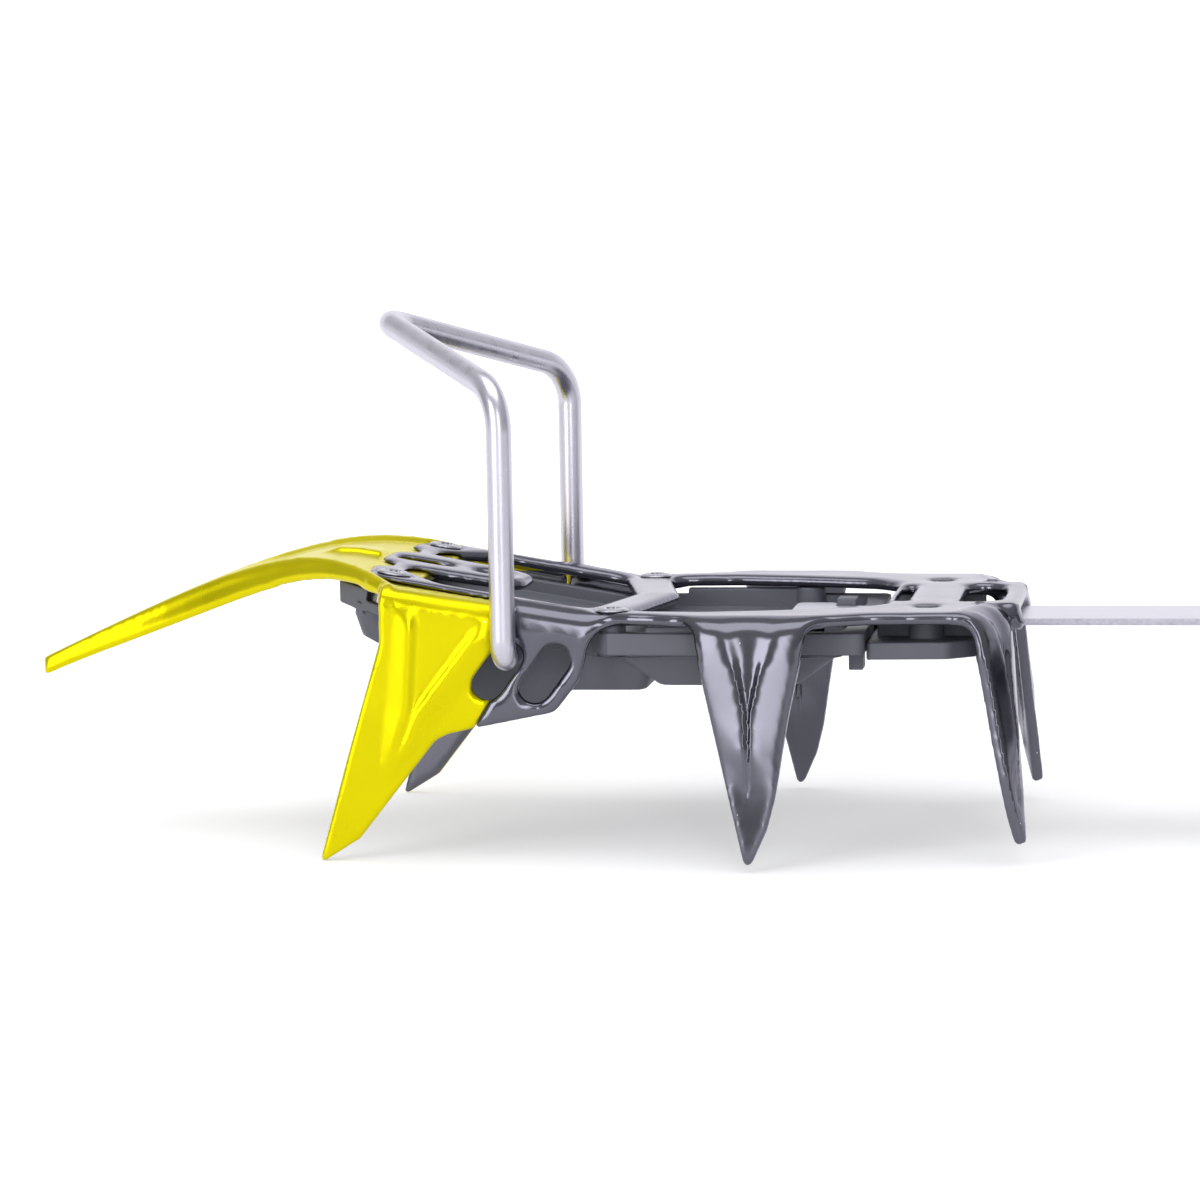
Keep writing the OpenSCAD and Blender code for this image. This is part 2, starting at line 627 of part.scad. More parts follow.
// Linking bar
bar_end = heel_x + 56;
first_hole = heel_x - 12;

module linking_bar() {
    bar = [[head_x, 0, 0], [head_x, head_w / 2, 2], [head_x + head_l, head_w / 2, 2],
           [head_x + head_l, bar_w / 2, 1], [bar_end, bar_w / 2, 5], [bar_end, 0, 0]];
    color(bright) difference() {
        slab(bar, -bar_drop, bar_t);
        for (i = [0 : holes - 1])
            translate([first_hole + i * hole_pitch, 0, bar_bottom - 1]) cylinder(d = hole_d, h = bar_t + 2);
    }
}

// Snow plates
stud_d = 4;
stud_head = 7;
rim_top = -rim_drop;
rear_plate_top = -6.4;
rear_plate_t = 3.4;
// Depth of the front dome's belly below the other dome
belly = 5;
// Walls of the rear plate beside the bar: their inner faces' half distance and their thickness
wall_half = 19;
wall_t = 3;
front_rim = [[-61, 0, 0], [-61, 22, 4], [-50, 32, 5], [-8.2, 31.5, 4], [-3.8, 36.2, 0.5], [12, 36.5, 5],
             [46.9, 36, 2], [46.9, 0, 0]];
// Part of the rim that stands up to the rails, and the gap it leaves there
front_lip = [[3.5, 0, 0], [3.5, 36, 1], [31, 36, 2], [31, 0, 0]];
lip_gap = 0.4;
front_floor = [[-57.5, 0, 0], [-57.5, 20, 4], [-48.5, 29, 4], [-6.2, 28.5, 3], [-2.2, 32.8, 0.5],
               [12, 33, 4], [42, 32.5, 4], [43, 18, 3], [43, 0, 0]];
rear_plate = [[47.1, 0, 0], [47.1, 33, 1], [63, 32, 4], [69, 27, 3], [69, 0, 0]];

module square_ring(span) {
    outline([[span[0], 0, 0], [span[0], span[2], 3], [span[1], span[2], 3], [span[1], 0, 0]]);
}

module dome(low, base, foot) {
    hull() {
        translate([0, 0, plate_low]) linear_extrude(plate_t - 0.2) square_ring(base);
        translate([0, 0, low]) linear_extrude(0.5) square_ring(foot);
    }
}

module front_dome() {
    hull() {
        on_rise() translate([0, 0, plate_low]) linear_extrude(plate_t - 0.2) square_ring([-49, 13, 28]);
        on_rise() translate([0, 0, -dome_drop + 1.2]) linear_extrude(0.5) square_ring([-47.5, -38, 24]);
        translate([0, 0, -dome_drop - 1.4]) linear_extrude(0.5) square_ring([-36, 2, 25]);
    }
    hull() {
        translate([0, 0, -dome_drop - 1.4]) linear_extrude(0.5) square_ring([-36, -13, 25]);
        translate([0, 0, -dome_drop - belly]) linear_extrude(0.5) square_ring([-33, -17, 23.5]);
    }
}

module bar_ribs(from, to, foot) {
    mirrored() translate([from, bar_w / 2 - 5, foot - 0.5]) cube([to - from, 3, bar_bottom - foot + 0.5]);
}

module bar_notch(from, to) {
    translate([from, -bar_w / 2 - 0.6, bar_bottom]) cube([to - from, bar_w + 1.2, through]);
}

module plate_slab(half, top, thick) {
    intersection() {
        sole_slab(top, thick, 60, 50, 45);
        through_sole(half);
    }
}

module front_snow_plate() {
    color(plastic) difference() {
        union() {
            difference() {
                union() {
                    plate_slab(front_rim, rim_top, rim_h);
                    slab(front_lip, -sheet - lip_gap, rim_drop - sheet - lip_gap + 0.5);
                }
                plate_slab(front_floor, 0, plate_drop);
            }
            plate_slab(front_floor, plate_top, plate_t);
            front_dome();
            dome(-dome_drop, [-3, 41, 31.5], [5, 33, 28]);
            mirrored() {
                translate([bridge_bolt.x, bridge_bolt.y, plate_low + 0.5])
                    cylinder(r = post_r, h = -sheet - plate_low - 0.5);
                translate([30, 33, plate_low + 0.5]) cylinder(r = 3, h = -sheet - plate_low - 0.5);
                on_rise() translate([bolt_front.x, 16, plate_low + 0.5])
                    cylinder(r = 3, h = -lap - sheet - plate_low - 0.5);
                translate([head_x + head_l + 0.3, bar_w / 2 + 0.6, plate_top - 0.5])
                    cube([4, 5, -sheet - plate_top + 0.4]);
            }
            mirrored() translate([43.4, 24, rim_top - rim_h - 3.6]) cube([2.8, 6, 5]);
            bar_ribs(12, 46, plate_top);
        }
        mirrored() {
            translate([bridge_bolt.x, bridge_bolt.y, plate_low - 10])
                cylinder(d = insert_d + 0.02, h = through);
            on_rise() translate([bolt_front.x, bolt_front.y, -lap - sheet - nut_h - 0.5])
                cylinder(d = nut_w / cos(30) + 1.4, h = through);
        }
        bar_notch(head_x + head_l + 5, 50);
    }
}

module rear_snow_plate() {
    color(plastic) difference() {
        union() {
            slab(rear_plate, rear_plate_top, rear_plate_t);
            mirrored() translate([stud_rear.x, stud_rear.y, plate_low + 0.5])
                cylinder(r = 3.4, h = -sheet - plate_low - 0.5);
            bar_ribs(48, 68.5, rear_plate_top);
            mirrored() translate([48.5, wall_half, rear_plate_top - 0.5])
                cube([19.3, wall_t, -sheet - seam_gap - rear_plate_top + 0.5]);
        }
        mirrored() translate([stud_rear.x, stud_rear.y, -through]) {
            cylinder(d = stud_d + 2 * seam_gap, h = through);
            cylinder(d = stud_head + 2 * seam_gap, h = through + plate_low + 1);
        }
    }
}

module push_stud() {
    translate([0, 0, plate_low - 0.8]) cylinder(d = stud_head, h = 1.8);
    translate([0, 0, plate_low]) cylinder(d = stud_d, h = -plate_low);
}

module plate_studs() {
    color(plastic) mirrored() translate([stud_rear.x, stud_rear.y, 0]) push_stud();
}

// Heel half
heel_end = heel_x + heel_l;
ear_x = heel_x + 36;
ear_w = 12;
heel_stud = [heel_x + 63, 12];
guide_from = heel_x + 3;
guide_to = heel_x + 33;
guide_t = 1.8;
guide_floor = bar_bottom - 0.3;
guide_rivet = [heel_x + 9, 16.4];
peg_x = first_hole + 3 * hole_pitch;
rivet_d = 3.2;
rivet_head = 5.6;
rivet_sink = seam_gap + (rivet_head - rivet_d) / 2;
rivet_pitch = 6;

function heel_outline() = [[heel_x, 0, 0], [heel_x, heel_half - 9, 6], [heel_x + 9, heel_half, 5],
    [heel_end - 9, heel_half, 6], [heel_end, heel_half - 15, 12], [heel_end, 0, 0]];

module heel_frame() {
    window = [[heel_x + 19, 0, 0], [heel_x + 19, 15, 5], [heel_end - 17, 15, 7], [heel_end - 17, 0, 0]];
    color(steel) difference() {
        union() {
            slab(heel_outline(), 0, sheet);
            mirrored() translate([0, heel_half, 0]) {
                pressed_point(heel_x + 11, heel_x + 27, 1, 1.5, 5, heel_x + 14, heel_drop, 7, 4.2);
                pressed_point(heel_x + 45, heel_x + 61, 1.5, 1, 5, heel_x + 59, heel_drop, 7, 4.2);
                ear();
            }
        }
        through_sole(window);
        mirrored() {
            translate([heel_stud.x, heel_stud.y, -through / 2])
                cylinder(d = stud_d + 2 * seam_gap, h = through);
            for (x = [guide_rivet.x, guide_rivet.x + rivet_pitch])
                translate([x, guide_rivet.y, 0]) rivet_bore();
        }
    }
}

// Upright ear of the heel frame, with the heel wire's bore
module ear() {
    difference() {
        intersection() {
            translate([0, bend_r, -sheet]) mirror([0, 0, 1])
                bent_strip(hair, sheet - 2 * hair, ear_h + sheet + ear_w, ear_x - ear_w / 2,
                           ear_x + ear_w / 2);
            side_outline([[ear_x - ear_w / 2, -sheet - 1, 0], [ear_x + ear_w / 2, -sheet - 1, 0],
                          [ear_x + ear_w / 2, ear_h + ear_w / 2, 5],
                          [ear_x - ear_w / 2, ear_h + ear_w / 2, 5]], 12, 12);
        }
        across(ear_x, ear_h, heel_wire_d + 2 * run_gap, -through, through);
    }
}

module heel_snow_plate() {
    heel_plate = [[heel_x + 36, 0, 0], [heel_x + 36, 24, 3], [heel_end - 9, 24, 4], [heel_end - 3, 12, 5],
                  [heel_end - 3, 0, 0]];
    color(plastic) difference() {
        union() {
            slab(heel_plate, plate_top, plate_t);
            dome(-dome_drop + 2.5, [heel_x + 38, heel_end - 10, 21], [heel_x + 42, heel_end - 16, 15]);
            mirrored() {
                translate([heel_stud.x, heel_stud.y, plate_low + 0.5])
                    cylinder(r = 3.4, h = -sheet - plate_low - 0.5);
                translate([heel_x + 42, 20, plate_low + 0.5]) cylinder(r = 3, h = -sheet - plate_low - 0.5);
            }
            bar_ribs(heel_x + 37, bar_end + 2, plate_top);
        }
        mirrored() translate([heel_stud.x, heel_stud.y, -through]) {
            cylinder(d = stud_d + 2 * seam_gap, h = through);
            cylinder(d = stud_head + 2 * seam_gap, h = through + plate_low + 1);
        }
    }
}

module heel_studs() {
    color(plastic) mirrored() translate([heel_stud.x, heel_stud.y, 0]) push_stud();
}

// Hat-shaped bracket that carries the bar under the heel frame, with cheeks for the latch
cheek_x = guide_to - 5;
latch_z = guide_floor - guide_t - 3;
latch_pin_d = 3;
latch_half = 7;

module heel_guide() {
    inside = bar_w / 2 + 0.3;
    color(steel) difference() {
        union() {
            translate([guide_from, -inside - guide_t, guide_floor - guide_t])
                cube([guide_to - guide_from, 2 * inside + 2 * guide_t, -sheet - guide_floor + guide_t]);
            translate([guide_from, -inside - 9, -sheet - guide_t])
                cube([guide_to - guide_from, 2 * inside + 18, guide_t]);
            mirrored() translate([cheek_x, latch_half + 0.4, latch_z]) rotate([-90, 0, 0]) {
                cylinder(r = 4, h = guide_t);
                translate([-4, -4, 0]) cube([8, 4, guide_t]);
            }
        }
        translate([guide_from - 1, -inside, guide_floor])
            cube([guide_to - guide_from + 2, 2 * inside, through]);
        translate([peg_x, 0, guide_floor - through / 2]) cylinder(d = hole_d + 1.6, h = through);
        across(cheek_x, latch_z, latch_pin_d + 2 * seam_gap, -through, through);
        mirrored() for (x = [guide_rivet.x, guide_rivet.x + rivet_pitch])
            translate([x, guide_rivet.y, -through / 2]) cylinder(d = rivet_d + 2 * seam_gap, h = through);
    }
}

module guide_rivets() {
    low = -sheet - guide_t;
    color(bright) mirrored() for (x = [guide_rivet.x, guide_rivet.x + rivet_pitch])
        translate([x, guide_rivet.y, 0]) rotate_extrude()
            polygon([[0, -seam_gap], [rivet_head / 2, -seam_gap], [rivet_d / 2, -rivet_sink],
                     [rivet_d / 2, low], [rivet_head / 2, low], [rivet_head / 2 - 0.4, low - 0.8],
                     [rivet_d / 2 - 0.4, low - 1.2], [0, low - 1.2]]);
}

module rivet_bore() {
    translate([0, 0, -through / 2]) cylinder(d = rivet_d + 2 * seam_gap, h = through);
    rotate_extrude() polygon([[0, -rivet_sink], [rivet_d / 2 + seam_gap, -rivet_sink],
                              [rivet_head / 2 + seam_gap, -seam_gap],
                              [rivet_head / 2 + seam_gap, 2], [0, 2]]);
}

latch_t = 1.6;
latch_tip = peg_x - 12;
peg_d = hole_d - 1.2;

module length_latch() {
    top = guide_floor - guide_t - 0.6;
    color(bright) difference() {
        union() {
            translate([latch_tip, -latch_half, top - latch_t])
                cube([cheek_x - latch_tip, 2 * latch_half, latch_t]);
            mirrored() translate([cheek_x, latch_half - 2, latch_z]) rotate([-90, 0, 0])
                cylinder(r = 2.4, h = 2);
            translate([peg_x, 0, top - 0.5]) cylinder(d = peg_d, h = -bar_drop - 0.2 - top + 0.5);
            translate([latch_tip, -latch_half, top - 6]) cube([latch_t, 2 * latch_half, 6]);
        }
        across(cheek_x, latch_z, latch_pin_d + 2 * run_gap, -through, through);
        translate([cheek_x - 3.6, -latch_half + 2, latch_z - 5]) cube([8, 2 * latch_half - 4, 10]);
    }
}

module latch_pin() {
    color(bright) {
        across(cheek_x, latch_z, latch_pin_d, -latch_half - 3, latch_half + 3);
        mirrored() across(cheek_x, latch_z, latch_pin_d + 1.6, latch_half + 0.4 + guide_t,
                          latch_half + 3.2);
    }
}

// Torsion spring wound on the latch pin
spring_wire = 0.8;
spring_turns = 5;

module latch_spring() {
    r = latch_pin_d / 2 + 0.3 + spring_wire / 2;
    steps = 12;
    pitch = 1.5;
    coil = [for (i = [0 : spring_turns * steps]) let (t = 360 * i / steps)
        [cheek_x + r * cos(t), (i / steps - spring_turns / 2) * pitch, latch_z + r * sin(t)]];
    color(bright) swept_wire(coil, spring_wire, [1, 0, 0]);
}

// Heel binding
yoke_half = lever_w / 2 + 6;
lever_x = ear_x + lever_back;
yoke_pin = heel_half + bend_r;

module heel_wire() {
    half = [[[ear_x, yoke_pin + 0.6, ear_h], 0], [[ear_x, yoke_pin + 4.4, ear_h], 3.4],
            [[lever_x, yoke_half, lever_z], 8]];
    far = [for (i = [len(half) - 1 : -1 : 0]) [[half[i][0].x, -half[i][0].y, half[i][0].z], half[i][1]]];
    color(bright) {
        swept_wire(wire_path(concat(half, far)), heel_wire_d - 2 * hair, [0, 0, 1]);
        mirrored() across(ear_x, ear_h, heel_wire_d, yoke_pin - sheet - 2, yoke_pin + 1.4);
        across(lever_x, lever_z, heel_wire_d, -lever_w / 2 - 0.4, lever_w / 2 + 0.4);
    }
}

lever_lean = 8;
wheel_d = 13;
wheel_h = 6;
wheel_z = 32;
screw_d = 4;
barrel_r = 6;

module on_lever() {
    translate([lever_x, 0, lever_z]) rotate([0, lever_lean, 0]) children();
}

module heel_lever() {
    side = [[-5, -4, 3], [5.5, -6, 4], [9, 18, 12], [9.5, lever_l - 12, 14], [15, lever_l, 2],
            [10, lever_l + 1, 2],
            [3, lever_l - 13, 12], [1, 20, 10], [-3.5, 10, 4]];
    color(plastic) on_lever() difference() {
        union() {
            translate([0, lever_w / 2, 0]) rotate([90, 0, 0]) linear_extrude(lever_w)
                polygon(rounded(side));
            across(0, 0, 2 * barrel_r, -lever_w / 2, lever_w / 2);
        }
        across(0, 0, heel_wire_d + 2 * run_gap, -through, through);
        translate([-2, -wheel_d / 2 - 1, wheel_z - wheel_h / 2 - 0.3])
            cube([20, wheel_d + 2, wheel_h + 0.6]);
        translate([5.5, 0, 8]) cylinder(d = screw_d + 2 * run_gap, h = lever_l);
        translate([-8, -6.3, 8.7]) cube([20, 12.6, 13.6]);
    }
}

module adjuster_screw() {
    color(bright) on_lever() translate([5.5, 0, 9]) {
        cylinder(d = screw_d, h = wheel_z + 5);
    }
}

module adjuster_wheel() {
    color(bright) on_lever() translate([5.5, 0, wheel_z - wheel_h / 2]) difference() {
        cylinder(d = wheel_d, h = wheel_h);
        translate([0, 0, -1]) cylinder(d = screw_d + hair, h = wheel_h + 2);
        for (i = [0 : 17]) rotate([0, 0, i * 20]) translate([wheel_d / 2, 0, -1])
            cylinder(d = 1.2, h = wheel_h + 2);
    }
}

module heel_jaw() {
    side = [[-9, 12.5, 1.5], [-9, 18.5, 1.5], [9, 18.5, 1.5], [9, 12.5, 1.5]];
    color(bright) on_lever() difference() {
        translate([0, 6, 0]) rotate([90, 0, 0]) linear_extrude(12) polygon(rounded(side));
        translate([5.5, 0, 0]) cylinder(d = screw_d + 2 * run_gap, h = through);
    }
}

main_frame();
front_claw();
claw_bolts();
claw_nuts();
bridge_bolts();
plate_inserts();
toe_bail();
linking_bar();
front_snow_plate();
rear_snow_plate();
plate_studs();
heel_frame();
heel_snow_plate();
heel_studs();
heel_guide();
guide_rivets();
length_latch();
latch_pin();
latch_spring();
heel_wire();
heel_lever();
adjuster_screw();
adjuster_wheel();
heel_jaw();
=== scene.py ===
"""Step-in mountaineering crampon: its finished pieces, their materials and a plain studio."""
import json
from math import acos, cos, pi, radians, sin, tan

import bpy
from mathutils import Matrix, Vector


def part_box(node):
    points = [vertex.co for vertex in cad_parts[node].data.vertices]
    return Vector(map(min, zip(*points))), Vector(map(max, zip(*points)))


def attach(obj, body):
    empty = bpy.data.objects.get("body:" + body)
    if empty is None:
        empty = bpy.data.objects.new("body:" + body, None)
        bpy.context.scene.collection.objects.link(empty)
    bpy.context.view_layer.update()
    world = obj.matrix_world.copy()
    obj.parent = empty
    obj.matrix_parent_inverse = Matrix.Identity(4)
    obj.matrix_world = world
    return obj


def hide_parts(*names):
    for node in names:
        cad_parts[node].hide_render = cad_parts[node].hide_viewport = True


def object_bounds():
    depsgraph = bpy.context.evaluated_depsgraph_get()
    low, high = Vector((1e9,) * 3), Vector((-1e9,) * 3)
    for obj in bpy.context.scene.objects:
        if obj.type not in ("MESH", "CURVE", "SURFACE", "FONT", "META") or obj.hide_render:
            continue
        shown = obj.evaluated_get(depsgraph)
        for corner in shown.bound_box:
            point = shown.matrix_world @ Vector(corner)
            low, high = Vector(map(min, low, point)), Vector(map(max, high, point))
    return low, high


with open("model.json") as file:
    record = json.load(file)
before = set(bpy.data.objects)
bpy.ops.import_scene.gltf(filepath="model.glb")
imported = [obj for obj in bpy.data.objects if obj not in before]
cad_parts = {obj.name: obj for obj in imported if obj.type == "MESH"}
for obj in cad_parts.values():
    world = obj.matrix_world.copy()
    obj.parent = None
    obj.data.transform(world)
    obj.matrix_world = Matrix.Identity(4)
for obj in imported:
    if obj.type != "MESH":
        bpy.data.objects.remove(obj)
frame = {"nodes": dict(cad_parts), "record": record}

bl_info = {
    "name": "Mountaineering crampon",
    "version": (1, 0, 0),
    "blender": (4, 5, 0),
    "location": "View3D > Sidebar > Crampon",
    "description": "Finishes a step-in crampon's pressed steel, bent wire, moulded plates and coated claw",
    "category": "Mesh",
}

CAD_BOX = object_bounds()
GROUND = CAD_BOX[0][2]
MM = 0.001
# Welds a copy's loose triangles, far below any real gap
WELD = 0.002 * MM

# Where the sole starts to rise towards the toe, and by how much
KNEE_X = -7 * MM
SOLE_RISE = radians(9.7)
# Where the points of both frames are straight: below their bends and behind the slot flanges
POINTS_TOP = -8 * MM
POINTS_FRONT = 9 * MM
# Depth over which the points' shading turns to that of the solid's facets, and how far it does
POINTS_BLEND = 3 * MM
FACET_SHARE = 0.55
# Behind this the top keeps crisp edges: the main frame's flat tail and the heel frame
TAIL_X = 66 * MM
# Heights over the sole between which the sheets bend down
BENDS_START = -1.6 * MM
BENDS_END = -8.5 * MM

# The claw has no coat on faces below this height that turn inwards by more than this
BARE_BELOW = 1 * MM
BARE_TURN = -0.35
# The range that noise seldom leaves
NOISE_SPAN = {"From Min": 0.3, "From Max": 0.7}

# Studio, in metres
FLOOR_WIDTH = 10
FLOOR_MIDDLE = (0.05, -3.3)
BACKDROP_HEIGHT = 1.6
BACKDROP_BEND = 0.4
# The floor's glow: its dimmest place, between part and camera, and how it grows with the distance from there
GLOW_MIDDLE = (0.05, -0.35, GROUND)
GLOW = {"From Min": 0.35, "From Max": 1, "To Min": 0.42, "To Max": 0.85}
# The air's light from the horizon up
AIR = {"From Min": 0, "From Max": 0.9, "To Min": 0.5, "To Max": 0.8}
# Lamps: name, bearing in degrees from straight in front, distance, height, width, depth and watts
LAMPS = (
    ("left_strip", -34, 1.0, 0.32, 0.48, 0.72, 4.4),
    ("right_strip", 15, 1.0, 0.32, 0.22, 0.72, 2.0),
    ("top_softbox", 0, 0.1, 0.9, 0.9, 0.7, 4),
)
# The view that the photo's wire, point tips and bar give
VIEW_FROM = (0.1142187, -0.8163789, 0.0907050)
VIEW_RIGHT = Vector((0.988643, 0.149291, -0.017238))
VIEW_UP = Vector((0.000347, 0.112432, 0.993659))
VIEW_AHEAD = Vector((-0.150283, 0.982380, -0.111104))
VIEW_LENS = 120.6


def linear(code):
    """Linear colour of an sRGB hex value"""
    parts = [int(code[i:i + 2], 16) / 255 for i in (1, 3, 5)]
    return [p / 12.92 if p <= 0.04045 else ((p + 0.055) / 1.055) ** 2.4 for p in parts]


def size(name, text, default):
    """A length in metres that the panel shows with its unit"""
    return bpy.props.FloatProperty(name=name, description=text, default=default, min=0, precision=5,
                                   subtype="DISTANCE", unit="LENGTH")


def tint(name, text, code):
    """A colour that the panel shows as a swatch"""
    return bpy.props.FloatVectorProperty(name=name, description=text, default=linear(code), size=3,
                                         min=0, max=1, subtype="COLOR")


class CRAMPON_PG_sizes(bpy.types.PropertyGroup):
    """Sizes that shape the finished pieces"""
    bail_wire: size("Bail wire", "Diameter of the toe bail's wire", 5 * MM)
    heel_wire: size("Heel wire", "Diameter of the heel yoke's wire", 4 * MM)
    spring_wire: size("Spring wire", "Diameter of the latch spring's wire", 0.8 * MM)
    wire_edge: size("Wire edge", "Rounding of the wires' cut ends", 0.3 * MM)
    press_cell: size("Press cell", "Face size of the frames, which sets how round their edges are", 0.49 * MM)
    claw_cell: size("Claw cell", "Face size of the claw, which keeps its narrow lips", 0.4 * MM)
    press_crown: size("Press crown", "Depth to which the top's edges are rolled over", 1.3 * MM)
    point_edge: size("Point edge", "Rounding of the points' edges and ribs", 0.25 * MM)
    plate_edge: size("Plate edge", "Rounding of the moulded plates' edges", 0.35 * MM)
    lever_cell: size("Lever cell", "Face size of the heel lever, which sets how round its edges are", 0.5 * MM)
    small_edge: size("Small edge", "Rounding of bolts, pins and small parts", 0.15 * MM)


class CRAMPON_PG_colours(bpy.types.PropertyGroup):
    """Colours of the finishes"""
    steel: tint("Pressed steel", "Plated sheet of the frame", "#696973")
    sheen: tint("Steel sheen", "What the plated sheet reflects at a low angle", "#FAF8FF")
    dust: tint("Dust", "Specks on steel and lacquer", "#D8D8DE")
    coat: tint("Claw coat", "Yellow lacquer of the front claw", "#DED200")
    wire: tint("Drawn wire", "Stainless wire of bail and yoke", "#D2D0DC")
    bar: tint("Spring strip", "Satin strip of the linking bar", "#D6D4E0")
    bolt: tint("Zinc", "Bolts, nuts, pins and rivets", "#B4B4BE")
    brass: tint("Brass", "Turned inserts of the plates", "#C9A660")
    plate: tint("Moulded plate", "Anti-snow plates and their studs", "#62646E")
    lever: tint("Moulded lever", "Heel lever", "#2E2F35")
    floor: tint("Floor", "Studio floor and backdrop", "#D0D0D3")


def sizes():
    return bpy.context.scene.crampon_sizes


def colours():
    return bpy.context.scene.crampon_colours


def hinge(body):
    """Where a body's joint stands, in millimetres"""
    joint = next(j for j in frame["record"]["behaviour"]["joints"] if j["child"] == body)
    return [p / MM for p in joint["pos_m"]]


# Modelling steps

def only(piece):
    """Leave edit mode, and select this object alone"""
    if bpy.context.object and bpy.context.object.mode != "OBJECT":
        bpy.ops.object.mode_set(mode="OBJECT")
    bpy.ops.object.select_all(action="DESELECT")
    piece.select_set(True)
    bpy.context.view_layer.objects.active = piece


def modified(piece, kind, **settings):
    """Add a modifier with its settings, and apply it"""
    only(piece)
    bpy.ops.object.modifier_add(type=kind)
    modifier = piece.modifiers[-1]
    for key, value in settings.items():
        setattr(modifier, key, value)
    bpy.ops.object.modifier_apply(modifier=modifier.name)


def worked_copy(solid, name):
    """A copy of a node's solid, its loose triangles welded"""
    only(frame["nodes"][solid])
    bpy.ops.object.duplicate()
    piece = bpy.context.object
    piece.name = piece.data.name = name
    bpy.ops.object.mode_set(mode="EDIT")
    bpy.ops.mesh.select_all(action="SELECT")
    bpy.ops.mesh.remove_doubles(threshold=WELD)
    only(piece)
    return piece


def above_sole(place):
    """Height over the sole's plane, which rises ahead of the knee"""
    return place.z - max(0, KNEE_X - place.x) * tan(SOLE_RISE)


def in_bend(place):
    """Whether a place lies where sheet bends from the sole's plane into a flange or a point"""
    return BENDS_END < above_sole(place) < BENDS_START


def eased(piece, width, segments=3, angle=32):
    """Round the edges sharper than an angle in degrees, and shade the rest smooth"""
    modified(piece, "BEVEL", width=width, segments=segments, limit_method="ANGLE", angle_limit=radians(angle),
             use_clamp_overlap=False)
    bpy.ops.object.shade_smooth_by_angle(angle=radians(angle))
    modified(piece, "WEIGHTED_NORMAL", keep_sharp=True)


def pressed(piece, cell, rounds):
    """Work the solid over as a press does: small even faces, then edges and inner corners drawn smooth"""
    modified(piece, "BEVEL", width=1.4 * cell, segments=2, limit_method="ANGLE", angle_limit=radians(40),
             use_clamp_overlap=False)
    modified(piece, "REMESH", mode="VOXEL", voxel_size=cell)
    modified(piece, "SMOOTH", iterations=rounds)
    bpy.ops.object.shade_smooth()


def drawn(piece, inside, rounds):
    """Draw a part of a piece smooth: the vertices whose place is inside it"""
    group = piece.vertex_groups.new(name="drawn")
    group.add([v.index for v in piece.data.vertices if inside(v.co)], 1, "REPLACE")
    modified(piece, "SMOOTH", iterations=rounds, vertex_group=group.name)


def shaded_by(piece, source, **settings):
    """Give a piece the normals of another object, which is then deleted"""
    modified(piece, "DATA_TRANSFER", object=source, use_loop_data=True, data_types_loops={"CUSTOM_NORMAL"},
             **settings)
    only(source)
    bpy.ops.object.delete()
    only(piece)


def rippleless(piece, rounds):
    """Shade a piece by a copy that is drawn smoother, so that its small faces leave no ripple"""
    only(piece)
    bpy.ops.object.duplicate()
    source = bpy.context.object
    modified(source, "SMOOTH", iterations=rounds)
    shaded_by(piece, source, loop_mapping="TOPOLOGY")


def crisp_points(piece, solid, edge):
    """Shade the points partly by the flat facets of the solid itself, their edges eased"""
    source = worked_copy(solid, solid + "_facets")
    eased(source, edge, angle=30)
    group = piece.vertex_groups.new(name="points")
    for v in piece.data.vertices:
        if v.co.x > POINTS_FRONT and v.co.z < POINTS_TOP:
            group.add([v.index], min(1, (POINTS_TOP - v.co.z) / POINTS_BLEND), "REPLACE")
    shaded_by(piece, source, loop_mapping="POLYINTERP_NEAREST", vertex_group=group.name, mix_factor=FACET_SHARE)


def placed(piece, body, slot, material, *nodes):
    """Give a finished piece its material and its body, and hide the nodes that it stands for; its slot is not
    used
    """
    piece.data.materials.clear()
    piece.data.materials.append(material)
    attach(piece, body)
    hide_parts(*nodes)


def capped(piece):
    """Weld a tube's seams, close its open ends and turn its faces outwards"""
    bpy.ops.object.mode_set(mode="EDIT")
    bpy.ops.mesh.select_all(action="SELECT")
    bpy.ops.mesh.remove_doubles(threshold=WELD)
    bpy.ops.mesh.select_all(action="DESELECT")
    bpy.ops.mesh.select_mode(type="EDGE")
    bpy.ops.mesh.select_non_manifold(extend=False, use_wire=False, use_multi_face=False,
                                     use_non_contiguous=False, use_verts=False)
    bpy.ops.mesh.edge_face_add()
    bpy.ops.mesh.select_all(action="SELECT")
    bpy.ops.mesh.normals_make_consistent(inside=False)
    only(piece)


